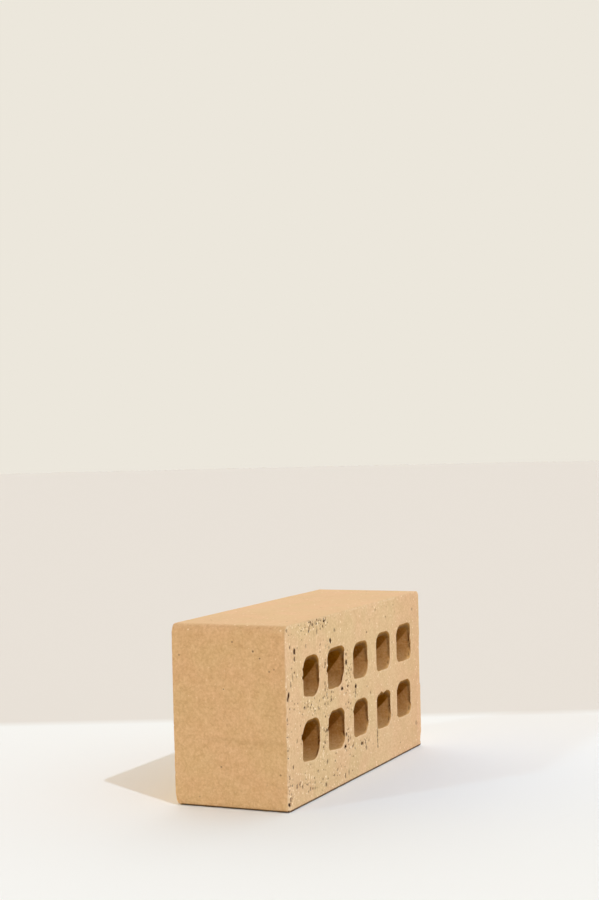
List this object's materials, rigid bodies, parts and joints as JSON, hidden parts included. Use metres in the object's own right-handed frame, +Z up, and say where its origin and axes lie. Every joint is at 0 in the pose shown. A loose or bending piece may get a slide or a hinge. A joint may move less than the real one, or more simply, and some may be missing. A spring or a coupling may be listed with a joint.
{
  "type": "clay brick",
  "caption": "Extruded, wire-cut fired-clay brick with rounded-square cores through its bed faces, standing on a long narrow face.",
  "frame": {"origin": "middle of the long narrow face that the brick stands on", "axes": "+X along the brick's length, from the end that the picture shows to the far end; +Y through its thickness, from the cored bed face that the picture shows to the other; +Z up its width"},
  "size_m": [0.23, 0.076, 0.11],
  "materials": {
    "fired_clay": "matte"
  },
  "bodies": {
    "root": {"brick": "fired_clay"}
  },
  "joints": []
}
